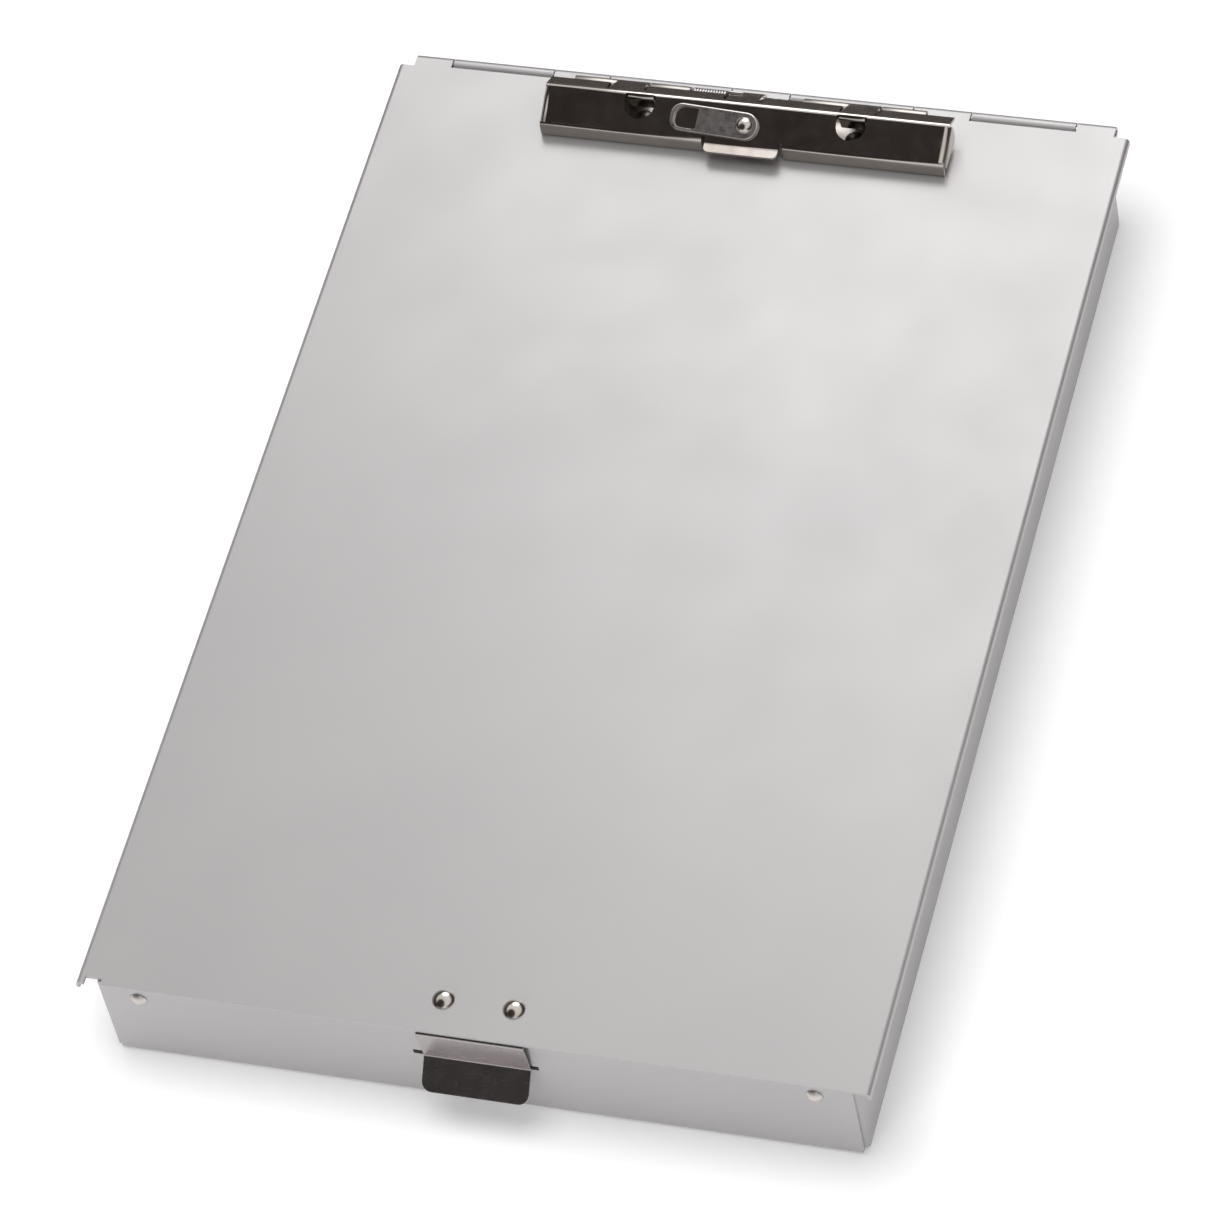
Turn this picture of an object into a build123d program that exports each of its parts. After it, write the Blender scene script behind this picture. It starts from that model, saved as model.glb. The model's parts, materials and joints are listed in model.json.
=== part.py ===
from build123d import *
import math
import os

os.makedirs("parts", exist_ok=True)

# A form-holder clipboard: a folded aluminium tray, a writing lid hinged on a
# long pin at the back, a low steel clip on the lid and a spring latch in front.
# Millimetres. X to the right, Y from the latch towards the hinge, Z up.
# The origin is the centre of the tray's underside.

# ---- Sheet, tray and lid ----
SHEET = 1.0                   # aluminium sheet thickness
TRAY_WIDTH = 226.4            # over the side walls
TRAY_LENGTH = 346.0           # over the front and back walls
LID_WIDTH = 236.0             # over the turned-down flanges
LID_FRONT = -174.8            # front edge of the lid, in Y
LID_BACK = 176.0              # back edge at the two corners, in Y
LID_TOP = 36.5                # writing surface above the ground
LID_PLAY = 0.3                # between the tray walls and the lid
WALL_TOP = LID_TOP - SHEET - LID_PLAY
FLANGE_DEPTH = 2.75           # lid flange, measured from the writing surface
BEND = 1.3                    # mid-surface bend radius of the tray
FLOOR_OVERLAP = 10.0          # how far each end wall's strip reaches into the floor
FLANGE_BEND = 1.0             # mid-surface bend radius of the lid flanges
LAP_GAP = 0.15                # between a wall and the corner tab behind it
TAB_LENGTH = 18.0             # corner tab, along the wall that it stiffens
TAB_DROP = 1.0                # the corner tabs end this far under the wall tops
RELIEF_TOP = 2.6              # height of the open relief at each tray corner
WALL_CUT_BACK = 1.2           # the front and back walls end this far short
NOTCH = (-115.5, -110.4, 2.3)  # relief in the lid's left front corner: X, X, depth
OVERLAP = 2.0                 # how far joined or cut shapes run past each other
DRILL = 8.0                   # length of the cutters for rivet holes

# ---- Lid hinge ----
HINGE_R = 2.5                 # outside radius of the rolled knuckles
HINGE_Y = 179.0
HINGE_Z = LID_TOP - HINGE_R
HINGE_PIN_R = 1.45
HINGE_PIN_HALF = 113.4
PIN_CHAMFER = 0.3
CURL_SWEEP = 290.0            # how far round the pin the sheet is rolled
LID_KNUCKLES = ((-113.0, -101.0), (-67.2, -49.3), (-9.15, 9.15), (49.3, 67.2), (101.0, 113.0))
LID_CUTOUTS = ((-101.0, -67.2), (-49.3, -9.15), (9.15, 49.3), (67.2, 101.0))
CUTOUT_FRONT = 176.6          # front edge of the cutouts, in Y
KNUCKLE_PLAY = 0.5            # end play beside each tray knuckle
STRAP_START = 28.5            # height where the knuckle straps leave the back wall

# ---- Rivets: head and tail as radius and height ----
RIVET_RIM = 0.25              # straight rim under each dome
TAIL_CHAMFER = 0.4            # share of the set tail's height that is chamfered
CORNER_RIVET_X = 100.6
FRONT_RIVET_Z = 28.8
REAR_RIVET_Z = 20.0           # below the hinge straps
CORNER_SHANK_R = 1.5
CORNER_HEAD = (2.5, 1.5)
CORNER_TAIL = (2.4, 0.8)

# ---- Latch ----
LATCH_X = 0.7                 # the latch sits slightly off centre
LATCH_SHEET = 0.6
LATCH_WIDTH = 32.0
LATCH_REAR = -152.0           # rear end of the strip, under the lid
LATCH_DROP_Y = -175.2         # mid-surface of the strip where it turns down
LATCH_BEND = 0.6              # mid-surface bend radius where it turns down
LATCH_SPLIT_Z = 34.2          # the moving tongue starts just under the bend
LATCH_SPLIT_GAP = 0.12
NOSE_Y = -173.6               # mid-surface of the strip at the nose
NOSE_Z = 21.9
NOSE_BEND = 0.8
TAB_TIP_Y = -181.4
TAB_TIP_Z = 14.7
TAB_CORNER = 3.0              # rounded lower corners of the thumb tab
SLOT_WIDTH = 37.5
SLOT_Z = (20.9, 22.8)
WALL_NOTCH_WIDTH = 35.0       # lets the strip pass over the front wall
WALL_NOTCH_Z = 34.1
LATCH_RIVET_X = 10.5
LATCH_RIVET_Y = -163.5
LATCH_SHANK_R = 1.6
LATCH_HEAD = (3.25, 1.9)
LATCH_TAIL = (2.6, 0.9)

# ---- Clip, heights measured from the writing surface ----
CLIP_SHEET = 0.9
BAR_HALF = 65.2               # half the length of the bar
SLOPE_LOW = (153.4, 5.1)      # outer corner of the lower bend: Y, height
SLOPE_HIGH = (165.4, 11.0)    # outer corner of the upper bend: Y, height
LIP_GAP = 0.3                 # under the lip when the clip is shut
LOW_BEND = 1.2                # mid-surface bend radii of the bar
TOP_BEND = 1.2
FLANGE_END = (170.7, 7.4)     # mid-surface: rear edge of the flange behind the upper bend
FLANGE_INSET = 0.4            # the flange and lip end this far inside the flaps
LEG_RELIEF = (166.8, 1.2)     # relief beside each leg: Y where it starts, width
KNEE_BEND = 2.5               # the legs bend further down at the flange's rear edge
TOP_SETBACK = 0.3             # the mid-surface corners sit this far inside the outer ones
THUMB_SETBACK = -0.6
BAR_CURL = 190.0              # how far the legs roll past the far side of the pin
BASE_CURL = 275.0             # how far the base knuckles roll round the pin
BASE_RISE_BEND = 5.0          # bend where the base plate rises to its knuckles
CLIP_PIN_Y = 173.8
CLIP_PIN_UP = 2.6
CLIP_PIN_R = 1.25
CLIP_PIN_HALF = 57.0
CLIP_KNUCKLE_MID = 1.75       # mid-surface radius of the clip's knuckles
KNUCKLE_SHIFT = -2.0          # the row of clip knuckles sits this far off centre
BAR_LEGS = ((-42.4, -32.4), (-5.0, 5.0), (32.4, 42.4))
BASE_KNUCKLES = ((-56.6, -42.9), (-31.9, -19.2), (17.6, 31.9), (42.9, 56.6))
BASE_HALF = 62.0
BASE_FRONT = 159.6
BASE_REAR = 170.4
BASE_CORNER = 2.5
BASE_SPRING_REAR = 164.0      # the plate is cut back under the spring
CLIP_RIVET_X = 33.9
CLIP_RIVET_Y = 163.6
CLIP_SHANK_R = 1.75
CLIP_HEAD = (3.0, 1.2)
CLIP_TAIL = (2.9, 0.9)

# ---- Clip bar details, in the plane of its sloping face ----
THUMB_X = 0.5                 # middle of the thumb tab
THUMB_HALF = 11.8
THUMB_RELIEF = 1.2            # slit beside the thumb tab
THUMB_RISE = 1.6              # how far up the slope the slits run
THUMB_TIP = (150.0, 4.1)      # mid-surface: Y, height
THUMB_CORNER = 1.8
FLAP_BEND = 1.75              # mid-surface bend radius
FLAP_DROP = 12.0              # deep enough to reach the lowest point of the outline
FLAP_BACK = (167.2, 4.2)      # rearmost point of the end flaps: Y, height
FLAP_HEEL = (163.8, 1.8)
FLAP_TOE = 2.4                # height of the end flaps behind the lip
FLAP_SHOULDER = 0.4           # the upper round bulges this far short of the rearmost point
FLAP_UNDER = (0.8, 0.5)       # and the lower one: short of the rearmost point, above the heel
LANCE_X = 33.9
LANCE_R = 4.8                 # half-round lower end of the lanced opening
LANCE_LOW = 4.9               # up the slope to the opening's lowest point
LANCE_HIGH = 12.9
LANCE_TAB = (8.2, 5.4, 75.0)  # width, length, and angle of the tab bent inwards
LANCE_BEND = 0.8
LANCE_ROOT = 0.1              # the tab reaches this far into the face above the opening
HANGER_X = 0.7                # pivot of the hanger
HANGER_UP = 5.9
HANGER_WIDTH = 8.8
HANGER_SHEET = 1.2
HANGER_EDGE = 0.55            # rounding of its outer edges
HANGER_REACH = 24.0           # pivot to the free end
HANGER_CORNER = 3.6
HANGER_TILT = -2.8
HANGER_GAP = 0.1              # play between the hanger and the bar
HANG_HOLE = (7.5, 7.0)
HANG_HOLE_AT = -19.0
HANG_HOLE_OUTER = 2.8         # corner radii of the hole
HANG_HOLE_INNER = 0.8
HANGER_SHANK_R = 1.5
HANGER_BORE_PLAY = 0.05
HANGER_HEAD = (2.7, 1.6)
HANGER_TAIL = (2.3, 0.7)

# ---- Spring, to the left of the middle leg ----
WIRE = 0.8
COIL_MID = 1.8
COIL_SPAN = (6.0, 18.4)
SPRING_FOOT = (176.0, 0.45)   # end of the short arm that presses on the lid: Y, height
SPRING_HOOK_UP = 4.2          # how far up the leg the hook lies
SPRING_HOOK_BEND = 1.0
SPRING_REST_GAP = 0.05        # between the hook and the leg
HOOK_END = 1.2                # the hook stops this far from the leg's middle
SPRING_CLEARANCE = 0.9        # on each side of the coil, in the base plate


def block(x_span, y_span, z_span):
    """A plain box between pairs of coordinates."""
    spans = (x_span, y_span, z_span)
    centre = [(low + high) / 2 for low, high in spans]
    size = [high - low for low, high in spans]
    return Pos(*centre) * Box(*size)


def ribbon_x(path, thickness, x_low, x_high):
    """A sheet whose mid-line is drawn in the YZ plane, run along X."""
    return Plane.YZ.offset(x_low) * extrude(trace(path, line_width=thickness), x_high - x_low)


def ribbon_y(path, thickness, y_low, y_high):
    """A sheet whose mid-line is drawn in the XZ plane, run along Y."""
    return Plane.XZ.offset(-y_high) * extrude(trace(path, line_width=thickness), y_high - y_low)


def ribbon_z(path, thickness, z_low, z_high):
    """A sheet whose mid-line is drawn in the XY plane, run along Z."""
    return Plane.XY.offset(z_low) * extrude(trace(path, line_width=thickness), z_high - z_low)


def rod_x(y, z, radius, x_low, x_high):
    """A round bar along X."""
    return Plane.YZ.offset(x_low) * extrude(Pos(y, z) * Circle(radius), x_high - x_low)


def tangent_angle(point, centre, radius, side):
    """Angle on a circle, in degrees, where the line from a point touches it."""
    away_y = point[0] - centre[0]
    away_z = point[1] - centre[1]
    bearing = math.degrees(math.atan2(away_z, away_y))
    spread = math.degrees(math.acos(radius / math.hypot(away_y, away_z)))
    return bearing + side * spread


def on_circle(centre, radius, angle):
    """A point on a circle, by its angle in degrees."""
    turn = math.radians(angle)
    return (centre[0] + radius * math.cos(turn), centre[1] + radius * math.sin(turn))


def rivet(head, shank_r, grip, tail):
    """A rivet along Z: domed head above z = 0, grip below it, set tail last."""
    head_r, head_h = head
    tail_r, tail_h = tail
    rim = RIVET_RIM
    crown = head_h - rim
    dome_r = (head_r ** 2 + crown ** 2) / (2 * crown)
    half_turn = math.asin(head_r / dome_r) / 2
    middle = (dome_r * math.sin(half_turn), head_h - dome_r + dome_r * math.cos(half_turn))
    low = -grip - tail_h
    edge = tail_h * TAIL_CHAMFER
    outline = (
        ThreePointArc((0, head_h), middle, (head_r, rim))
        + Polyline((head_r, rim), (head_r, 0), (shank_r, 0), (shank_r, -grip), (tail_r, -grip),
                   (tail_r, low + edge), (tail_r - edge, low), (0, low), (0, head_h))
    )
    return revolve(Plane.XZ * make_face(outline), Axis.Z)


def mirrored(shape):
    """A shape and its mirror image across the YZ plane."""
    return [shape, mirror(shape, about=Plane.YZ)]


# ---------------------------------------------------------------- tray

def corner_rivet_spots(sign):
    """Rivet places and directions on the front (-1) or back (+1) wall."""
    face = sign * TRAY_LENGTH / 2
    height = FRONT_RIVET_Z if sign < 0 else REAR_RIVET_Z
    return [Pos(x, face, height) * Rot(-90 * sign, 0, 0) for x in (-CORNER_RIVET_X, CORNER_RIVET_X)]


def corner_tab(sign):
    """The tab that turns from the right side wall in behind an end wall."""
    wall_x = TRAY_WIDTH / 2 - SHEET / 2
    tab_y = sign * (TRAY_LENGTH / 2 - 1.5 * SHEET - LAP_GAP)
    start_y = tab_y - sign * 2 * BEND
    path = FilletPolyline((wall_x, start_y), (wall_x, tab_y), (wall_x - TAB_LENGTH, tab_y), radius=BEND)
    return ribbon_z(path, SHEET, RELIEF_TOP, WALL_TOP - TAB_DROP)


def end_wall(sign, straight_top):
    """A front (-1) or back (+1) wall with its bend into the floor."""
    wall_y = sign * (TRAY_LENGTH - SHEET) / 2
    bent_half = TRAY_WIDTH / 2 - BEND - SHEET / 2
    full_half = TRAY_WIDTH / 2 - WALL_CUT_BACK
    floor_z = SHEET / 2
    overlap_y = wall_y - sign * FLOOR_OVERLAP
    path = FilletPolyline((wall_y, straight_top), (wall_y, floor_z), (overlap_y, floor_z), radius=BEND)
    wall = ribbon_x(path, SHEET, -bent_half, bent_half)
    y_span = sorted((wall_y - SHEET / 2, wall_y + SHEET / 2))
    for side in mirrored(block((bent_half, full_half), y_span, (RELIEF_TOP, straight_top))):
        wall += side
    return wall


def hinge_strap(x_low, x_high):
    """A strap of the back wall, bent outwards and rolled round the hinge pin."""
    wall_y = (TRAY_LENGTH - SHEET) / 2
    roll_r = HINGE_R - SHEET / 2
    run_z = HINGE_Z - roll_r
    run = FilletPolyline((wall_y, STRAP_START), (wall_y, run_z), (HINGE_Y, run_z), radius=BEND)
    roll = CenterArc((HINGE_Y, HINGE_Z), roll_r, -90, CURL_SWEEP)
    return ribbon_x(run + roll, SHEET, x_low, x_high)


def make_tray():
    half_w = TRAY_WIDTH / 2
    side_end = TRAY_LENGTH / 2 - SHEET - LAP_GAP - BEND - SHEET / 2
    wall_x = half_w - SHEET / 2
    floor_z = SHEET / 2
    corners = ((-wall_x, WALL_TOP), (-wall_x, floor_z), (wall_x, floor_z), (wall_x, WALL_TOP))
    sides = FilletPolyline(*corners, radius=BEND)
    tray = ribbon_y(sides, SHEET, -side_end, side_end)
    tray += end_wall(-1, WALL_TOP)
    tray += end_wall(1, STRAP_START)
    for sign in (-1, 1):
        for tab in mirrored(corner_tab(sign)):
            tray += tab
    back_span = (TRAY_LENGTH / 2 - SHEET, TRAY_LENGTH / 2)
    edges = [-half_w + WALL_CUT_BACK]
    for low, high in LID_CUTOUTS:
        tray += hinge_strap(low + KNUCKLE_PLAY, high - KNUCKLE_PLAY)
        edges += [low, high]
    edges += [half_w - WALL_CUT_BACK]
    for low, high in zip(edges[0::2], edges[1::2]):
        tray += block((low, high), back_span, (STRAP_START, WALL_TOP))
    front_span = (-TRAY_LENGTH / 2 - OVERLAP, -TRAY_LENGTH / 2 + SHEET + LAP_GAP / 2)
    notch_span = (LATCH_X - WALL_NOTCH_WIDTH / 2, LATCH_X + WALL_NOTCH_WIDTH / 2)
    tray -= block((-SLOT_WIDTH / 2, SLOT_WIDTH / 2), front_span, SLOT_Z)
    tray -= block(notch_span, front_span, (WALL_NOTCH_Z, LID_TOP))
    for sign in (-1, 1):
        for spot in corner_rivet_spots(sign):
            tray -= spot * Cylinder(CORNER_SHANK_R, DRILL)
    return tray


def make_corner_rivets(sign):
    one = rivet(CORNER_HEAD, CORNER_SHANK_R, 2 * SHEET + LAP_GAP, CORNER_TAIL)
    return [spot * one for spot in corner_rivet_spots(sign)]


# ---------------------------------------------------------------- lid

def lid_roll(x_low, x_high):
    """The back edge of the lid, rolled down round the hinge pin."""
    roll_r = HINGE_R - SHEET / 2
    sheet_z = LID_TOP - SHEET / 2
    flat = Line((LID_BACK - OVERLAP, sheet_z), (HINGE_Y, sheet_z))
    roll = CenterArc((HINGE_Y, HINGE_Z), roll_r, 90, -CURL_SWEEP)
    return ribbon_x(flat + roll, SHEET, x_low, x_high)


def make_lid():
    edge_x = LID_WIDTH / 2 - SHEET / 2
    sheet_z = LID_TOP - SHEET / 2
    hem_z = LID_TOP - FLANGE_DEPTH
    section = FilletPolyline((-edge_x, hem_z), (-edge_x, sheet_z), (edge_x, sheet_z), (edge_x, hem_z),
                             radius=FLANGE_BEND)
    lid = ribbon_y(section, SHEET, LID_FRONT, LID_BACK)
    knuckle_end = LID_KNUCKLES[-1][1]
    strip_span = (LID_BACK - OVERLAP, CUTOUT_FRONT)
    lid += block((-knuckle_end, knuckle_end), strip_span, (LID_TOP - SHEET, LID_TOP))
    for low, high in LID_KNUCKLES:
        lid += lid_roll(low, high)
    notch_low, notch_high, notch_depth = NOTCH
    notch_span = (LID_FRONT - OVERLAP, LID_FRONT + notch_depth)
    lid -= block((notch_low, notch_high), notch_span, (hem_z - OVERLAP, LID_TOP + OVERLAP))
    for x in latch_rivet_xs():
        lid -= Pos(x, LATCH_RIVET_Y, LID_TOP) * Cylinder(LATCH_SHANK_R, DRILL)
    for x in (-CLIP_RIVET_X, CLIP_RIVET_X):
        lid -= Pos(x, CLIP_RIVET_Y, LID_TOP) * Cylinder(CLIP_SHANK_R, DRILL)
    return lid


def make_hinge_pin():
    pin = rod_x(HINGE_Y, HINGE_Z, HINGE_PIN_R, -HINGE_PIN_HALF, HINGE_PIN_HALF)
    return chamfer(pin.edges().filter_by(GeomType.CIRCLE), PIN_CHAMFER)


# ---------------------------------------------------------------- latch

def latch_rivet_xs():
    """X of the two rivets that hold the latch."""
    return (LATCH_X - LATCH_RIVET_X, LATCH_X + LATCH_RIVET_X)


def latch_strip(path):
    """A length of the latch's spring strip."""
    return ribbon_x(path, LATCH_SHEET, LATCH_X - LATCH_WIDTH / 2, LATCH_X + LATCH_WIDTH / 2)


def make_latch_base():
    sheet_z = LID_TOP - SHEET - LATCH_SHEET / 2
    corners = ((LATCH_REAR, sheet_z), (LATCH_DROP_Y, sheet_z), (LATCH_DROP_Y, LATCH_SPLIT_Z))
    base = latch_strip(FilletPolyline(*corners, radius=LATCH_BEND))
    rear = base.edges().filter_by(Axis.Z).group_by(Axis.Y)[-1]
    base = fillet(rear, TAB_CORNER)
    for x in latch_rivet_xs():
        base -= Pos(x, LATCH_RIVET_Y, sheet_z) * Cylinder(LATCH_SHANK_R, DRILL)
    return base


def make_latch_tongue():
    top_z = LATCH_SPLIT_Z - LATCH_SPLIT_GAP
    corners = ((LATCH_DROP_Y, top_z), (NOSE_Y, NOSE_Z), (TAB_TIP_Y, TAB_TIP_Z))
    tongue = latch_strip(FilletPolyline(*corners, radius=NOSE_BEND))
    tip = tongue.edges().filter_by(Axis.X, reverse=True).group_by(Axis.Z)[0]
    short = [edge for edge in tip if edge.length < 2 * LATCH_SHEET]
    return fillet(short, TAB_CORNER)


def make_latch_rivets():
    one = rivet(LATCH_HEAD, LATCH_SHANK_R, SHEET + LATCH_SHEET, LATCH_TAIL)
    return [Pos(x, LATCH_RIVET_Y, LID_TOP) * one for x in latch_rivet_xs()]


# ---------------------------------------------------------------- clip

PIN_CENTRE = (CLIP_PIN_Y, CLIP_PIN_UP)
SLOPE_LENGTH = math.dist(SLOPE_LOW, SLOPE_HIGH)
UP_SLOPE = ((SLOPE_HIGH[0] - SLOPE_LOW[0]) / SLOPE_LENGTH, (SLOPE_HIGH[1] - SLOPE_LOW[1]) / SLOPE_LENGTH)
OUTWARD = (-UP_SLOPE[1], UP_SLOPE[0])
SLOPE_PLANE = Plane(
    origin=(0, SLOPE_LOW[0], LID_TOP + SLOPE_LOW[1]),
    x_dir=(1, 0, 0),
    z_dir=(0, OUTWARD[0], OUTWARD[1]),
)


def on_slope(up, out):
    """A point in the YZ section, by its distance up the slope and out of it."""
    y = SLOPE_LOW[0] + up * UP_SLOPE[0] + out * OUTWARD[0]
    height = SLOPE_LOW[1] + up * UP_SLOPE[1] + out * OUTWARD[1]
    return (y, height)


def mid_slope_at(y):
    """The height of the sloping sheet's mid-surface at a given Y."""
    start = on_slope(0, -CLIP_SHEET / 2)
    return start[1] + (y - start[0]) * UP_SLOPE[1] / UP_SLOPE[0]


def clip_ribbon(path, thickness, x_low, x_high):
    """A sheet of the clip, drawn with heights from the writing surface."""
    return Pos(0, 0, LID_TOP) * ribbon_x(path, thickness, x_low, x_high)


TOP_CORNER = on_slope(SLOPE_LENGTH - TOP_SETBACK, -CLIP_SHEET / 2)
LEG_ANGLE = tangent_angle(FLANGE_END, PIN_CENTRE, CLIP_KNUCKLE_MID, -1)
LEG_FOOT = on_circle(PIN_CENTRE, CLIP_KNUCKLE_MID, LEG_ANGLE)


def leg_path():
    """From the middle of the slope over the top, down the leg and round the pin."""
    middle = on_slope(SLOPE_LENGTH / 2, -CLIP_SHEET / 2)
    knee_start = tuple((top + end) / 2 for top, end in zip(TOP_CORNER, FLANGE_END))
    over = FilletPolyline(middle, TOP_CORNER, knee_start, radius=TOP_BEND)
    down = FilletPolyline(knee_start, FLANGE_END, LEG_FOOT, radius=KNEE_BEND)
    roll = CenterArc(PIN_CENTRE, CLIP_KNUCKLE_MID, LEG_ANGLE, -LEG_ANGLE - BAR_CURL)
    return over + down + roll


def short_flange_path():
    """From the middle of the slope over the top, ending in a short flange."""
    middle = on_slope(SLOPE_LENGTH / 2, -CLIP_SHEET / 2)
    return FilletPolyline(middle, TOP_CORNER, FLANGE_END, radius=TOP_BEND)


def lip_path():
    """From the lip's lower edge, over the lower bend, to the middle of the slope."""
    lip_y = SLOPE_LOW[0] + CLIP_SHEET / 2
    middle = on_slope(SLOPE_LENGTH / 2, -CLIP_SHEET / 2)
    return FilletPolyline((lip_y, LIP_GAP), (lip_y, mid_slope_at(lip_y)), middle, radius=LOW_BEND)


def thumb_path():
    """From the thumb tab's edge, over its bend, to the middle of the slope."""
    corner = on_slope(THUMB_SETBACK, -CLIP_SHEET / 2)
    middle = on_slope(SLOPE_LENGTH / 2, -CLIP_SHEET / 2)
    return FilletPolyline(THUMB_TIP, corner, middle, radius=2 * LOW_BEND)


def end_flap():
    """The right end of the bar: a flap folded down from the sloping face."""
    mid_x = BAR_HALF - CLIP_SHEET / 2
    start_x = mid_x - FLAP_BEND - OVERLAP
    fold = FilletPolyline((start_x, -CLIP_SHEET / 2), (mid_x, -CLIP_SHEET / 2), (mid_x, -FLAP_DROP),
                          radius=FLAP_BEND)
    sheet = SLOPE_PLANE * ribbon_y(fold, CLIP_SHEET, 0, SLOPE_LENGTH + OVERLAP)
    front = on_slope(CLIP_SHEET, 0)
    top = on_slope(SLOPE_LENGTH - CLIP_SHEET, 0)
    toe = (front[0], FLAP_TOE)
    shoulder = (FLAP_BACK[0] - FLAP_SHOULDER, (top[1] + FLAP_BACK[1]) / 2)
    round_under = (FLAP_BACK[0] - FLAP_UNDER[0], FLAP_HEEL[1] + FLAP_UNDER[1])
    outline = (
        Polyline(FLAP_HEEL, toe, front, top)
        + ThreePointArc(top, shoulder, FLAP_BACK)
        + ThreePointArc(FLAP_BACK, round_under, FLAP_HEEL)
    )
    side = Plane.YZ.offset(start_x) * extrude(make_face(outline), BAR_HALF - start_x)
    return sheet & (Pos(0, 0, LID_TOP) * side)


def flap_room():
    """What the sloping face loses at its right end, where the flap's bend takes over."""
    x_span = (BAR_HALF - CLIP_SHEET / 2 - FLAP_BEND, BAR_HALF + OVERLAP)
    up_span = (CLIP_SHEET, SLOPE_LENGTH - CLIP_SHEET)
    return SLOPE_PLANE * block(x_span, up_span, (-CLIP_SHEET, CLIP_SHEET))


def lance_opening(x):
    """The half-round opening in the sloping face."""
    straight = LANCE_HIGH - LANCE_LOW - LANCE_R
    shape = Pos(x, LANCE_LOW + LANCE_R) * Circle(LANCE_R)
    shape += Pos(x, LANCE_HIGH - straight / 2) * Rectangle(2 * LANCE_R, straight)
    upper = Pos(x, LANCE_HIGH + LANCE_R) * Rectangle(4 * LANCE_R, 2 * LANCE_R)
    return SLOPE_PLANE.offset(-2 * CLIP_SHEET) * extrude(shape - upper, 3 * CLIP_SHEET)


def lance_tab(x):
    """The tab left by the opening, bent inwards from its upper edge."""
    width, length, angle = LANCE_TAB
    turn = math.radians(angle)
    root = on_slope(LANCE_HIGH + LANCE_ROOT, -CLIP_SHEET / 2)
    bend = on_slope(LANCE_HIGH - CLIP_SHEET, -CLIP_SHEET / 2)
    tip_up = LANCE_HIGH - CLIP_SHEET - length * math.cos(turn)
    tip = on_slope(tip_up, -CLIP_SHEET / 2 - length * math.sin(turn))
    path = FilletPolyline(root, bend, tip, radius=LANCE_BEND)
    return clip_ribbon(path, CLIP_SHEET, x - width / 2, x + width / 2)


def make_clip_bar():
    thumb_low = THUMB_X - THUMB_HALF
    thumb_high = THUMB_X + THUMB_HALF
    bar = clip_ribbon(thumb_path(), CLIP_SHEET, thumb_low, thumb_high)
    short_edges = bar.edges().filter_by(lambda edge: edge.length < 2 * CLIP_SHEET)
    bar = fillet(short_edges.sort_by(Axis.Y)[:2], THUMB_CORNER)
    lip_half = BAR_HALF - FLANGE_INSET
    bar += clip_ribbon(lip_path(), CLIP_SHEET, -lip_half, thumb_low - THUMB_RELIEF)
    bar += clip_ribbon(lip_path(), CLIP_SHEET, thumb_high + THUMB_RELIEF, lip_half)
    web = Line(on_slope(THUMB_RISE, -CLIP_SHEET / 2), on_slope(SLOPE_LENGTH / 2, -CLIP_SHEET / 2))
    bar += clip_ribbon(web, CLIP_SHEET, thumb_low - THUMB_RELIEF, thumb_high + THUMB_RELIEF)
    bar += clip_ribbon(short_flange_path(), CLIP_SHEET, -lip_half, lip_half)
    relief_y, relief_width = LEG_RELIEF
    for x_low, x_high in BAR_LEGS:
        relief_span = (x_low + KNUCKLE_SHIFT - relief_width, x_high + KNUCKLE_SHIFT + relief_width)
        bar -= block(relief_span, (relief_y, HINGE_Y), (LID_TOP, LID_TOP + SLOPE_HIGH[1]))
    for x_low, x_high in BAR_LEGS:
        bar += clip_ribbon(leg_path(), CLIP_SHEET, x_low + KNUCKLE_SHIFT, x_high + KNUCKLE_SHIFT)
    for room in mirrored(flap_room()):
        bar -= room
    for flap in mirrored(end_flap()):
        bar += flap
    for x in (-LANCE_X, LANCE_X):
        bar -= lance_opening(x)
        bar += lance_tab(x)
    bar -= SLOPE_PLANE * (Pos(HANGER_X, HANGER_UP, 0) * Cylinder(HANGER_SHANK_R, DRILL / 2))
    return bar


def base_knuckle_path():
    """From the flat of the base plate, up and round the clip's pin."""
    flat_z = CLIP_SHEET / 2
    rise = (BASE_REAR, flat_z)
    angle = tangent_angle(rise, PIN_CENTRE, CLIP_KNUCKLE_MID, 1)
    foot = on_circle(PIN_CENTRE, CLIP_KNUCKLE_MID, angle)
    flat = FilletPolyline((BASE_FRONT, flat_z), rise, foot, radius=BASE_RISE_BEND)
    return flat + CenterArc(PIN_CENTRE, CLIP_KNUCKLE_MID, angle, BASE_CURL)


def make_clip_base():
    top = LID_TOP + CLIP_SHEET
    base = block((-BASE_HALF, BASE_HALF), (BASE_FRONT, BASE_REAR), (LID_TOP, top))
    for x_low, x_high in BASE_KNUCKLES:
        base += clip_ribbon(base_knuckle_path(), CLIP_SHEET, x_low + KNUCKLE_SHIFT, x_high + KNUCKLE_SHIFT)
    coil_in, coil_out = COIL_SPAN
    gap_span = (KNUCKLE_SHIFT - coil_out - SPRING_CLEARANCE, KNUCKLE_SHIFT - coil_in + SPRING_CLEARANCE)
    base -= block(gap_span, (BASE_SPRING_REAR, BASE_REAR + OVERLAP), (LID_TOP - OVERLAP, top + OVERLAP))
    corners = base.edges().filter_by(Axis.Z).group_by(Axis.Y)[0]
    base = fillet(corners, BASE_CORNER)
    for x in (-CLIP_RIVET_X, CLIP_RIVET_X):
        base -= Pos(x, CLIP_RIVET_Y, top) * Cylinder(CLIP_SHANK_R, DRILL)
    return base


def make_clip_rivets():
    one = rivet(CLIP_HEAD, CLIP_SHANK_R, CLIP_SHEET + SHEET, CLIP_TAIL)
    return [Pos(x, CLIP_RIVET_Y, LID_TOP + CLIP_SHEET) * one for x in (-CLIP_RIVET_X, CLIP_RIVET_X)]


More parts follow.
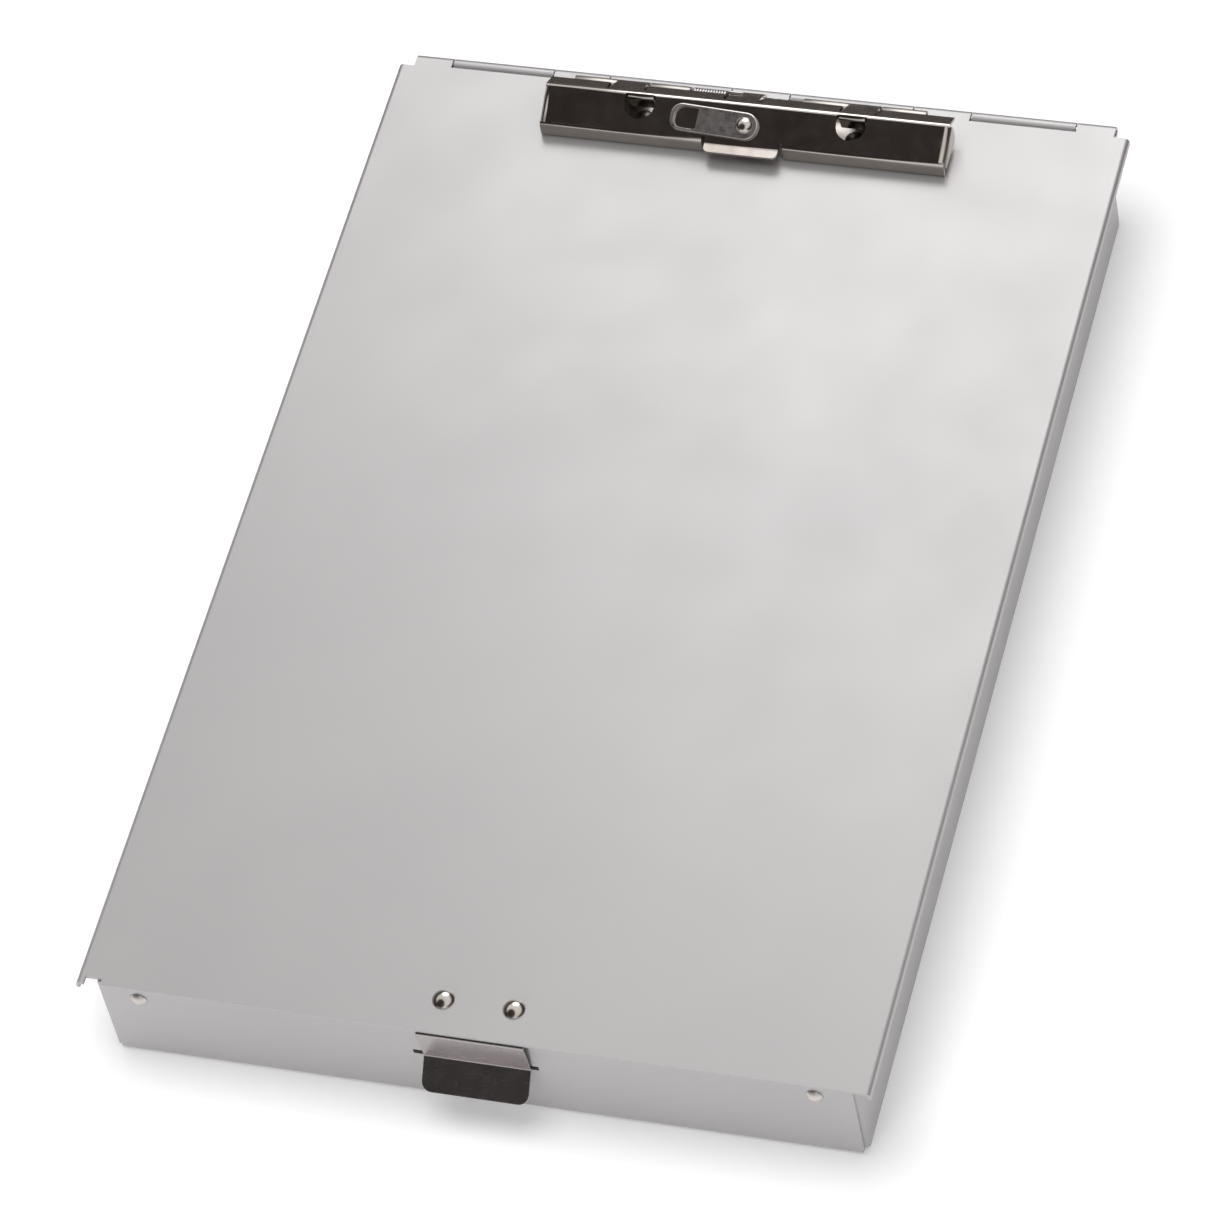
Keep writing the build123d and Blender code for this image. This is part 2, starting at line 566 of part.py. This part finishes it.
def make_clip_pin():
    low_end = KNUCKLE_SHIFT - CLIP_PIN_HALF
    high_end = KNUCKLE_SHIFT + CLIP_PIN_HALF
    pin = rod_x(CLIP_PIN_Y, LID_TOP + CLIP_PIN_UP, CLIP_PIN_R, low_end, high_end)
    return chamfer(pin.edges().filter_by(GeomType.CIRCLE), PIN_CHAMFER)


def wire_along(route):
    """Round spring wire along a path."""
    return sweep(Plane(origin=route @ 0, z_dir=route % 0) * Circle(WIRE / 2), path=route)


def make_spring():
    """A close coil on the pin, a short arm on the lid behind it and a hook on the leg."""
    near, far = -COIL_SPAN[0], -COIL_SPAN[1]
    coil = rod_x(CLIP_PIN_Y, CLIP_PIN_UP, COIL_MID + WIRE / 2, far, near)
    coil -= rod_x(CLIP_PIN_Y, CLIP_PIN_UP, COIL_MID - WIRE / 2, far - OVERLAP, near + OVERLAP)
    foot = on_circle(PIN_CENTRE, COIL_MID, tangent_angle(SPRING_FOOT, PIN_CENTRE, COIL_MID, -1))
    arm_x = far + WIRE / 2
    arm = wire_along(Line((arm_x, *foot), (arm_x, *SPRING_FOOT)))
    lean = math.radians(LEG_ANGLE)
    ride = on_circle(PIN_CENTRE, CLIP_KNUCKLE_MID + CLIP_SHEET / 2 + WIRE / 2 + SPRING_REST_GAP, LEG_ANGLE)
    hook = (ride[0] - SPRING_HOOK_UP * math.sin(lean), ride[1] + SPRING_HOOK_UP * math.cos(lean))
    top = on_circle(PIN_CENTRE, COIL_MID, tangent_angle(hook, PIN_CENTRE, COIL_MID, 1))
    hook_x = near - WIRE / 2
    upper = wire_along(
        FilletPolyline((hook_x, *top), (hook_x, *hook), (-HOOK_END, *hook), radius=SPRING_HOOK_BEND)
    )
    return Pos(KNUCKLE_SHIFT, 0, LID_TOP) * (coil + arm + upper)


# ---------------------------------------------------------------- hanger

def make_hanger():
    half = HANGER_WIDTH / 2
    outline = Circle(half) + Pos(-HANGER_REACH / 2, 0) * Rectangle(HANGER_REACH, HANGER_WIDTH)
    outline = fillet(outline.vertices().group_by(Axis.X)[0], HANGER_CORNER)
    plate = extrude(outline, HANGER_SHEET)
    plate = fillet(plate.faces().sort_by(Axis.Z)[-1].edges(), HANGER_EDGE)
    hole = Pos(HANG_HOLE_AT, 0) * Rectangle(*HANG_HOLE)
    hole = fillet(hole.vertices().group_by(Axis.X)[0], HANG_HOLE_OUTER)
    hole = fillet(hole.vertices().group_by(Axis.X)[-1], HANG_HOLE_INNER)
    plate -= extrude(hole + Circle(HANGER_SHANK_R + HANGER_BORE_PLAY), HANGER_SHEET)
    place = Pos(HANGER_X, HANGER_UP) * Rot(0, 0, HANGER_TILT)
    return SLOPE_PLANE.offset(HANGER_GAP) * (place * plate)


def make_hanger_rivet():
    under_head = HANGER_GAP * 2 + HANGER_SHEET
    one = rivet(HANGER_HEAD, HANGER_SHANK_R, under_head + CLIP_SHEET, HANGER_TAIL)
    return SLOPE_PLANE * (Pos(HANGER_X, HANGER_UP, under_head) * one)


# ---------------------------------------------------------------- export

def save(name, shapes):
    """Write one node; a list becomes a group of separate solids."""
    pieces = shapes if isinstance(shapes, list) else [shapes]
    solids = [solid for piece in pieces for solid in piece.solids()]
    shape = solids[0] if len(solids) == 1 else Compound(children=solids)
    shape.label = name
    export_step(shape, "parts/" + name + ".step")
    print(name, len(solids), round(sum(solid.volume for solid in solids), 1))


save("tray_shell", make_tray())
save("front_corner_rivets", make_corner_rivets(-1))
save("rear_corner_rivets", make_corner_rivets(1))
save("lid_hinge_pin", make_hinge_pin())
save("lid_panel", make_lid())
save("latch_base", make_latch_base())
save("latch_rivets", make_latch_rivets())
save("latch_tongue", make_latch_tongue())
save("clip_base", make_clip_base())
save("clip_base_rivets", make_clip_rivets())
save("clip_hinge_pin", make_clip_pin())
save("clip_bar", make_clip_bar())
save("clip_spring", make_spring())
save("hanger_tab", make_hanger())
save("hanger_rivet", make_hanger_rivet())
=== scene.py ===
import json
import math

import bmesh
import bpy
from mathutils import Matrix, Vector


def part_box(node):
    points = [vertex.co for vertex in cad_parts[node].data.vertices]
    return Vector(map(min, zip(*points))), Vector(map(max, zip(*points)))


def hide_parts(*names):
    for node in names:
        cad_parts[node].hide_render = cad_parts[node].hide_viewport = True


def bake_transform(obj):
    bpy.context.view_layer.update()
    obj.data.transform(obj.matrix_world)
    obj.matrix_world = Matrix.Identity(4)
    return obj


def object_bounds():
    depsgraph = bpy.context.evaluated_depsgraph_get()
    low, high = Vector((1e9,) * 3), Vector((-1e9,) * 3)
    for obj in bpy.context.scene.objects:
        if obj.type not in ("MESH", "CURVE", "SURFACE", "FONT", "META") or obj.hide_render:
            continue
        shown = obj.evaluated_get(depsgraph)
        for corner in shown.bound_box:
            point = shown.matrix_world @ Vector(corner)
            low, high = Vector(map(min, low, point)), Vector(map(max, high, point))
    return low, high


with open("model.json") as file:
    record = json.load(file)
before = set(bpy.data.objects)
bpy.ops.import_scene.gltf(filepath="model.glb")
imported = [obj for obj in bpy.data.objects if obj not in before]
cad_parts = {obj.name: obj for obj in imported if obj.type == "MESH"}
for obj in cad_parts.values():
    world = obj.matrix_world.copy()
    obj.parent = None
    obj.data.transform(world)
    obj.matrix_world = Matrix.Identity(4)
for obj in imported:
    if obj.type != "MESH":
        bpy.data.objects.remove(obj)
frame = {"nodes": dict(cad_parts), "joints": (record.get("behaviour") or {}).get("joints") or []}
size_at_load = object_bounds()

# The clipboard's looks. Metres, in the frame of the CAD: X to the right, Y towards the hinge, Z up.
MM = 0.001

# ---- Camera and studio ----
CAMERA_AZIMUTH = 25.28
CAMERA_ELEVATION = 52.47
CAMERA_ROLL = -13.45
CAMERA_DISTANCE = 1.972
CAMERA_LENS = 198.0
AIM_OFFSET = (0.0019, -0.0218)       # X from the object's middle, and Y; the height is the lid's top
FLOOR_SIZE = 60.0
FLOOR_DROP = 0.2 * MM                # keeps the floor clear of the tray's underside
FLOOR_COLOR = (0.90, 0.90, 0.905)
FLOOR_SHADE = 0.995                  # its faint clouds are this much darker
FLOOR_CLOUDS = 3.0
FLOOR_SHEEN = 0.1
FLOOR_GLOW = 0.22                    # it gives off a little light of its own, which softens shadows
ROOM_DARK = (0.045, 0.039, 0.036)
ROOM_BRIGHT = (0.98, 0.97, 0.97)
ROOM_STRENGTH = 0.82
CEILING = (0.38, 0.62)               # the bright ceiling fades in between these, along Z
FRONT_WALL = (0.60, 0.85)            # and the pale front wall between these, along -Y
OPENING_TOWARDS = (-0.35, -0.55, 0.76)   # the middle of a dark opening in ceiling and front wall
OPENING_RADIUS = (29.0, 41.0)        # its edge, in degrees from its middle
# Each light is a disk aimed at the frame's origin: place, diameter, power.
LIGHTS = {
    "key": ((-0.06, 1.18, 0.95), 1.20, 8.2),
    "top": ((-0.20, 0.00, 1.90), 1.6, 23.0),
    "front": ((-0.80, -2.30, 0.60), 1.2, 19.0),
}
ONLY_SOFT = ("top", "front")         # these two are not seen in reflections
ONLY_GLOSS = ("key",)                # and this one is seen only in them
# A dark card on the floor behind the object, seen only in reflections: X, Y, height.
CARD = ((-1.2, 1.2), (0.24, 1.6), 0.5 * MM)
CARD_COLORS = ((0.05, 0.04, 0.035), (0.04, 0.03, 0.03))
CARD_CLOUDS = 40.0
MATT = 0.9                           # roughness of the floor and the card

# ---- Rounded edges of some CAD nodes ----
WELD = 0.002 * MM
EDGE_ANGLE = 40.0
EDGE_SEGMENTS = 2
PLATE_EDGE = 0.12 * MM
PIN_EDGE = 0.08 * MM
EDGES = {
    "clip_bar": PLATE_EDGE, "clip_base": PLATE_EDGE, "hanger_tab": PLATE_EDGE,
    "lid_hinge_pin": PIN_EDGE, "clip_hinge_pin": PIN_EDGE,
}

# ---- Latch strip: one bent spring strip instead of its two CAD halves ----
STRIP_SHEET = 0.6 * MM
STRIP_EDGE = 0.12 * MM
STRIP_CORNER = 3.0 * MM
STRIP_BENDS = (0.6 * MM, 0.8 * MM)
CORNER_STEPS = 8                     # steps round each bend and corner of a new piece
SHARP_ANGLE = 50.0                   # edges sharper than this stay sharp on a new piece
STRIP_NOSE = Vector((0, -173.6, 21.9)) * MM     # where the strip turns out to its thumb tab
STRIP_TIP = Vector((0, -181.4, 14.7)) * MM

# ---- Clip spring ----
WIRE = 0.8 * MM
WIRE_SIDES = 14
WIRE_ROUND = 0.2 * MM                # rounding of the wire's cut ends
COIL_MID = 1.8 * MM
COIL_LENGTH = 12.4 * MM
COIL_TURNS = 13
TURN_STEPS = 24
SPRING_FOOT = Vector((0, 2.2, -2.15)) * MM      # from the pin's axis
SPRING_HOOK = Vector((0, -1.572, 4.708)) * MM
HOOK_BEND = 1.0 * MM

# ---- Metals ----
SMUDGE_SCALE = 3.7                   # smudges are this much finer than the clouds of colour
GRAIN_POLISH = 0.006                 # how much the fine grain changes the roughness
# Light and dark colour, roughness from and to, scale and depth (mm) of the fine grain, and what
# differs from metal()'s usual values.
METALS = {
    "aluminium_sheet": dict(
        light=(0.440, 0.427, 0.427), dark=(0.412, 0.399, 0.403), roughness=(0.34, 0.40),
        grain=900.0, depth=0.004, stretch=(1, 0.12, 1), spots=9.0, metallic=0.56),
    "plated_steel": dict(
        light=(0.66, 0.61, 0.56), dark=(0.58, 0.53, 0.49), roughness=(0.10, 0.17),
        grain=1500.0, depth=0.0015, stretch=(0.2, 1, 1)),
    "base_steel": dict(
        light=(0.50, 0.46, 0.43), dark=(0.42, 0.39, 0.36), roughness=(0.32, 0.40),
        grain=1500.0, depth=0.001, stretch=(0.2, 1, 1)),
    "hanger_steel": dict(
        light=(0.68, 0.64, 0.62), dark=(0.60, 0.56, 0.55), roughness=(0.26, 0.34),
        grain=2500.0, depth=0.001, stretch=(0.15, 1, 1), spots=150.0),
    "rivet_steel": dict(
        light=(0.72, 0.67, 0.62), dark=(0.64, 0.59, 0.54), roughness=(0.17, 0.23),
        grain=2500.0, depth=0.002, spots=300.0),
    # painted shade: a near-black steel for the rivets under the clip bar, standing in for the shade they
    # sit in
    "painted_shade_rivet": dict(
        light=(0.20, 0.18, 0.16), dark=(0.14, 0.12, 0.11), roughness=(0.34, 0.42),
        grain=2500.0, depth=0.002, spots=300.0),
    "wall_rivet": dict(
        light=(0.62, 0.58, 0.56), dark=(0.54, 0.50, 0.48), roughness=(0.30, 0.38),
        grain=2500.0, depth=0.002, spots=300.0, metallic=0.85),
    "pin_steel": dict(
        light=(0.62, 0.60, 0.60), dark=(0.54, 0.52, 0.52), roughness=(0.22, 0.30),
        grain=2500.0, depth=0.003, stretch=(0.1, 1, 1), spots=150.0),
    "latch_steel": dict(
        light=(0.42, 0.385, 0.385), dark=(0.38, 0.35, 0.35), roughness=(0.25, 0.28),
        grain=1800.0, depth=0.0006, stretch=(0.12, 1, 1)),
    "spring_wire": dict(
        light=(0.74, 0.70, 0.71), dark=(0.66, 0.62, 0.64), roughness=(0.28, 0.34),
        grain=3000.0, depth=0.003, spots=300.0),
}
# CAD nodes whose metal is not the one that their slot is named after.
FINISHES = {
    # the rivets under the clip bar get the near-black steel, which is painted shade
    "hanger_tab": "hanger_steel", "clip_base": "base_steel", "clip_base_rivets": "painted_shade_rivet",
    "front_corner_rivets": "wall_rivet", "rear_corner_rivets": "wall_rivet",
}


# ---------------------------------------------------------------- materials

class Graph:
    """A node tree, with a few short forms for the nodes used here."""

    def __init__(self, tree):
        self.tree = tree

    def feed(self, socket, value):
        """Links an output to a socket, or sets a plain value on it."""
        if isinstance(value, bpy.types.NodeSocket):
            self.tree.links.new(value, socket)
        else:
            socket.default_value = value

    def add(self, kind, output, inputs, **settings):
        """Adds a node, feeds its inputs, and gives back one of its outputs."""
        node = self.tree.nodes.new(kind)
        for key, value in settings.items():
            setattr(node, key, value)
        for key, value in inputs.items():
            self.feed(node.inputs[key], value)
        return node.outputs[output]

    def noise(self, scale, stretch=(1, 1, 1), detail=4.0, rough=0.55):
        """Noise in object space; a larger stretch packs it closer along that axis."""
        place = self.add("ShaderNodeTexCoord", "Object", {})
        mapped = self.add("ShaderNodeMapping", "Vector", {"Vector": place, "Scale": stretch})
        inputs = {"Vector": mapped, "Scale": scale, "Detail": detail, "Roughness": rough}
        return self.add("ShaderNodeTexNoise", "Fac", inputs)

    def span(self, value, low, high, start=0.3, end=0.7, **settings):
        """Maps start..end of a value to low..high."""
        inputs = {"Value": value, "From Min": start, "From Max": end, "To Min": low, "To Max": high}
        return self.add("ShaderNodeMapRange", "Result", inputs, **settings)

    def mix(self, share, one, two):
        """A colour between two colours."""
        inputs = {"Factor": share, "A": one, "B": two}
        return self.add("ShaderNodeMix", "Result", inputs, data_type="RGBA")

    def math(self, operation, one, two):
        return self.add("ShaderNodeMath", "Value", {0: one, 1: two}, operation=operation)

    def bump(self, height, distance):
        inputs = {"Height": height, "Distance": distance, "Strength": 1.0}
        return self.add("ShaderNodeBump", "Normal", inputs)


class Finish(Graph):
    """A new material and its node tree."""

    def __init__(self, name):
        self.material = bpy.data.materials.new(name)
        self.material.use_nodes = True
        super().__init__(self.material.node_tree)

    def shade(self, inputs):
        """Feeds the inputs of the material's own shader."""
        shader = self.tree.nodes["Principled BSDF"]
        for key, value in inputs.items():
            self.feed(shader.inputs[key], value)


def rgb(red, green, blue):
    return (red, green, blue, 1.0)


def metal(name, light, dark, roughness, grain, depth, stretch=(1, 1, 1), spots=60.0, metallic=1.0):
    """A metal with cloudy colour, uneven polish and fine grain."""
    finish = Finish(name)
    clouds = finish.span(finish.noise(spots, detail=3.0), 0, 1)
    smudges = finish.noise(spots * SMUDGE_SCALE, detail=1.5)
    fine = finish.noise(grain, stretch=stretch, detail=3.0, rough=0.6)
    polish = finish.span(smudges, *roughness)
    uneven = finish.span(fine, -GRAIN_POLISH, GRAIN_POLISH)
    finish.shade({
        "Metallic": metallic,
        "Base Color": finish.mix(clouds, rgb(*dark), rgb(*light)),
        "Roughness": finish.math("ADD", polish, uneven),
        "Normal": finish.bump(fine, depth * MM),
    })
    return finish.material


def matt(name, scale, light, dark):
    """A matt finish with faint clouds between two colours."""
    finish = Finish(name)
    clouds = finish.span(finish.noise(scale), 0.0, 1.0)
    finish.shade({"Base Color": finish.mix(clouds, rgb(*light), rgb(*dark)), "Roughness": MATT})
    return finish


# ---------------------------------------------------------------- carried-over CAD nodes

def joint_place(name):
    """Where a joint's axis passes, at rest."""
    return Vector(next(joint["pos_m"] for joint in frame["joints"] if joint["name"] == name))


def round_edges(node, width):
    """Softens a node's sharp edges with modifiers, which leave its own mesh alone."""
    weld = node.modifiers.new("weld", "WELD")
    weld.merge_threshold = WELD
    bevel = node.modifiers.new("edges", "BEVEL")
    bevel.width = width
    bevel.segments = EDGE_SEGMENTS
    bevel.limit_method = "ANGLE"
    bevel.angle_limit = math.radians(EDGE_ANGLE)
    bevel.use_clamp_overlap = True
    bevel.harden_normals = True


def dress_nodes(materials):
    """Gives every CAD node its metal, and some of them rounded edges."""
    for name, node in frame["nodes"].items():
        slot = node.material_slots[0]
        slot.material = materials[FINISHES.get(name, slot.material.name)]
        if name in EDGES:
            round_edges(node, EDGES[name])


# ---------------------------------------------------------------- new pieces

def rounded(corners, radii):
    """Points along a line through the corners, with each inner corner rounded."""
    points = [corners[0]]
    for before, corner, after, radius in zip(corners, corners[1:], corners[2:], radii):
        back = (before - corner).normalized()
        ahead = (after - corner).normalized()
        half = back.angle(ahead) / 2
        centre = corner + (back + ahead).normalized() * radius / math.sin(half)
        start = corner + back * radius / math.tan(half) - centre
        end = corner + ahead * radius / math.tan(half) - centre
        sweep = start.angle(end)
        for step in range(CORNER_STEPS + 1):
            share = step / CORNER_STEPS
            arc = start * math.sin((1 - share) * sweep) + end * math.sin(share * sweep)
            points.append(centre + arc / math.sin(sweep))
    return points + [corners[-1]]


def loft(name, rings, material):
    """A closed skin over a row of rings, all with their points in the same order."""
    count = len(rings[0])
    points = [point for ring in rings for point in ring]
    faces = [tuple(range(count)), tuple(range(len(points) - count, len(points)))]
    for low in range(0, len(points) - count, count):
        for step in range(count):
            after = (step + 1) % count
            faces.append((low + step, low + after, low + count + after, low + count + step))
    mesh = bpy.data.meshes.new(name)
    mesh.from_pydata(points, [], faces)
    shape = bmesh.new()
    shape.from_mesh(mesh)
    bmesh.ops.recalc_face_normals(shape, faces=shape.faces)
    shape.to_mesh(mesh)
    shape.free()
    mesh.shade_smooth()
    mesh.set_sharp_from_angle(angle=math.radians(SHARP_ANGLE))
    mesh.materials.append(material)
    piece = bpy.data.objects.new(name, mesh)
    bpy.context.scene.collection.objects.link(piece)
    shading = piece.modifiers.new("shading", "WEIGHTED_NORMAL")
    shading.keep_sharp = True
    return piece


def directions(path):
    """The direction of travel at each point of a path."""
    before = [path[0]] + path[:-1]
    after = path[1:] + [path[-1]]
    return [(ahead - behind).normalized() for behind, ahead in zip(before, after)]


def strip_ring(place, outward, half_width, thickness, edge):
    """A rounded rectangle across a strip: half its width along X, its thickness along outward."""
    across = Vector((1, 0, 0))
    ring = []
    for side, face, first in ((1, 1, 0), (-1, 1, 90), (-1, -1, 180), (1, -1, 270)):
        middle = across * side * (half_width - edge) + outward * face * (thickness / 2 - edge)
        for turn in (first, first + 45, first + 90):
            angle = math.radians(turn)
            ring.append(place + middle + (across * math.cos(angle) + outward * math.sin(angle)) * edge)
    return ring


def corner_stations(end, neighbour):
    """Places near one end of the strip, and how much narrower it is at each, for round corners."""
    inward = (neighbour - end).normalized()
    turns = [math.pi / 2 * step / CORNER_STEPS for step in range(CORNER_STEPS + 1)]
    return [(end + inward * STRIP_CORNER * (1 - math.cos(turn)), STRIP_CORNER * (1 - math.sin(turn)))
            for turn in turns]


def strip_stations(base_low, base_high):
    """Places along the middle of the whole strip, at X = 0, and how much narrower it is at each."""
    top = base_high.z - STRIP_SHEET / 2
    drop = base_low.y + STRIP_SHEET / 2
    corners = [Vector((0, base_high.y, top)), Vector((0, drop, top)), STRIP_NOSE, STRIP_TIP]
    path = rounded(corners, STRIP_BENDS)
    rear_end = corner_stations(path[0], path[1])
    tab_end = corner_stations(path[-1], path[-2])
    return rear_end + [(point, 0) for point in path[1:-1]] + tab_end[::-1]


def make_latch_strip(material):
    """The latch: clamped under the lid, turned down over its edge, and out to a thumb tab."""
    base_low, base_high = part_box("latch_base")
    middle = Vector(((base_low.x + base_high.x) / 2, 0, 0))
    half_width = (base_high.x - base_low.x) / 2
    stations = strip_stations(base_low, base_high)
    rings = []
    for (place, narrower), ahead in zip(stations, directions([place for place, narrower in stations])):
        outward = Vector((0, -ahead.z, ahead.y))
        rings.append(strip_ring(place + middle, outward, half_width - narrower, STRIP_SHEET, STRIP_EDGE))
    strip = loft("latch_strip", rings, material)
    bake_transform(strip)
    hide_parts("latch_base", "latch_tongue")


def wire(name, path, radius, material):
    """A round wire along a path, with slightly rounded cut ends."""
    rings = []
    side = None
    for index, (place, ahead) in enumerate(zip(path, directions(path))):
        side = ahead.orthogonal() if side is None else side - ahead * side.dot(ahead)
        side.normalize()
        up = ahead.cross(side)
        inner = radius - WIRE_ROUND if index in (0, len(path) - 1) else radius
        turns = [math.tau * step / WIRE_SIDES for step in range(WIRE_SIDES)]
        rings.append([place + (side * math.cos(turn) + up * math.sin(turn)) * inner for turn in turns])
    return loft(name, rings, material)


def touching_angle(outside, radius, side):
    """Angle in the YZ plane where a line from an outside point touches a circle round the axis."""
    bearing = math.atan2(outside.z, outside.y)
    return bearing + side * math.acos(radius / math.hypot(outside.y, outside.z))


def make_clip_spring(material):
    """The clip's torsion spring: a short arm, a close coil round the pin, and a hook on the leg."""
    low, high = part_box("clip_spring")
    axis = joint_place("clip_hinge")
    arm_x = low.x + WIRE / 2
    hook_x = low.x + COIL_LENGTH - WIRE / 2
    start = touching_angle(SPRING_FOOT, COIL_MID, -1) + math.tau
    end = touching_angle(SPRING_HOOK, COIL_MID, 1) - math.tau * COIL_TURNS
    pin = Vector((0, axis.y, axis.z))

    def on_coil(share):
        angle = start + (end - start) * share
        around = Vector((0, math.cos(angle), math.sin(angle))) * COIL_MID
        return pin + around + Vector((arm_x + (hook_x - arm_x) * share, 0, 0))

    def beside(x, offset):
        return pin + offset + Vector((x, 0, 0))

    steps = COIL_TURNS * TURN_STEPS
    coil = [on_coil(step / steps) for step in range(steps + 1)]
    foot = beside(arm_x, SPRING_FOOT)
    arm = [foot, foot.lerp(coil[0], WIRE_ROUND / (coil[0] - foot).length)]
    hook = rounded([coil[-1], beside(hook_x, SPRING_HOOK), beside(high.x, SPRING_HOOK)], [HOOK_BEND])
    tip = hook[-1].lerp(hook[-2], WIRE_ROUND / (hook[-1] - hook[-2]).length)
    path = arm + coil + hook[1:-1] + [tip, hook[-1]]
    spring = wire("clip_spring_coil", path, WIRE / 2, material)
    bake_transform(spring)
    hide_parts("clip_spring")


# ---------------------------------------------------------------- studio

def aim(thing, target):
    thing.rotation_mode = "QUATERNION"
    thing.rotation_quaternion = (target - thing.location).to_track_quat("-Z", "Y")


def level_sheet(name, x_range, y_range, height):
    """A level rectangle of the studio."""
    (low_x, high_x), (low_y, high_y) = x_range, y_range
    outline = [(low_x, low_y), (high_x, low_y), (high_x, high_y), (low_x, high_y)]
    mesh = bpy.data.meshes.new(name)
    mesh.from_pydata([(x, y, height) for x, y in outline], [], [(0, 1, 2, 3)])
    sheet = bpy.data.objects.new(name, mesh)
    bpy.context.scene.collection.objects.link(sheet)
    return sheet


def make_floor():
    reach = (-FLOOR_SIZE / 2, FLOOR_SIZE / 2)
    floor = level_sheet("floor", reach, reach, 0)
    floor.location.z = size_at_load[0].z - FLOOR_DROP
    shade = [channel * FLOOR_SHADE for channel in FLOOR_COLOR]
    paper = matt("floor_paper", FLOOR_CLOUDS, FLOOR_COLOR, shade)
    paper.shade({
        "Specular IOR Level": FLOOR_SHEEN,
        "Emission Color": rgb(*FLOOR_COLOR),
        "Emission Strength": FLOOR_GLOW,
    })
    floor.data.materials.append(paper.material)


def make_card():
    """The dark card that keeps the bright floor out of the clip's back faces."""
    card = level_sheet("card", *CARD)
    card.visible_camera = False
    card.visible_diffuse = False
    card.visible_shadow = False
    card.data.materials.append(matt("card_cloth", CARD_CLOUDS, *CARD_COLORS).material)


def room_color(graph):
    """Pale where the ceiling or the front wall is, and dark elsewhere and in the opening."""
    def fade(value, start, end):
        return graph.span(value, 0.0, 1.0, start, end, interpolation_type="SMOOTHSTEP")

    direction = graph.add("ShaderNodeTexCoord", "Generated", {})
    height = graph.add("ShaderNodeSeparateXYZ", "Z", {"Vector": direction})
    depth = graph.add("ShaderNodeSeparateXYZ", "Y", {"Vector": direction})
    aims = {0: direction, 1: Vector(OPENING_TOWARDS).normalized()}
    towards = graph.add("ShaderNodeVectorMath", "Value", aims, operation="DOT_PRODUCT")
    opening = fade(towards, *[math.cos(math.radians(angle)) for angle in OPENING_RADIUS])
    front = fade(depth, *[-start for start in FRONT_WALL])
    pale = graph.math("MAXIMUM", fade(height, *CEILING), front)
    return graph.mix(graph.math("MULTIPLY", pale, opening), rgb(*ROOM_DARK), rgb(*ROOM_BRIGHT))


def make_room():
    """A studio with a bright ceiling and front wall, and a dark opening in them."""
    world = bpy.data.worlds.new("studio")
    bpy.context.scene.world = world
    world.use_nodes = True
    graph = Graph(world.node_tree)
    background = graph.tree.nodes["Background"].inputs
    graph.feed(background["Color"], room_color(graph))
    graph.feed(background["Strength"], ROOM_STRENGTH)


def make_light(name, place, size, power):
    data = bpy.data.lights.new(name, "AREA")
    data.shape = "DISK"
    data.size = size
    data.energy = power
    light = bpy.data.objects.new(name, data)
    light.location = place
    bpy.context.scene.collection.objects.link(light)
    aim(light, Vector((0, 0, 0)))
    light.visible_glossy = name not in ONLY_SOFT
    light.visible_diffuse = name not in ONLY_GLOSS


def make_camera():
    low, high = size_at_load
    lid_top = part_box("lid_panel")[1].z
    target = Vector(((low.x + high.x) / 2 + AIM_OFFSET[0], AIM_OFFSET[1], lid_top))
    azimuth = math.radians(CAMERA_AZIMUTH)
    elevation = math.radians(CAMERA_ELEVATION)
    level = math.cos(elevation)
    back = Vector((math.sin(azimuth) * level, -math.cos(azimuth) * level, math.sin(elevation)))
    data = bpy.data.cameras.new("camera")
    data.lens = CAMERA_LENS
    camera = bpy.data.objects.new("camera", data)
    bpy.context.scene.collection.objects.link(camera)
    camera.location = target + back * CAMERA_DISTANCE
    aim(camera, target)
    roll = Matrix.Rotation(math.radians(CAMERA_ROLL), 3, "Z").to_quaternion()
    camera.rotation_quaternion = camera.rotation_quaternion @ roll
    bpy.context.scene.camera = camera


materials = {name: metal(name, **recipe) for name, recipe in METALS.items()}
dress_nodes(materials)
make_latch_strip(materials["latch_steel"])
make_clip_spring(materials["spring_wire"])
make_floor()
make_card()
make_room()
for name, (place, size, power) in LIGHTS.items():
    make_light(name, place, size, power)
make_camera()
bpy.context.scene.view_settings.view_transform = "Standard"
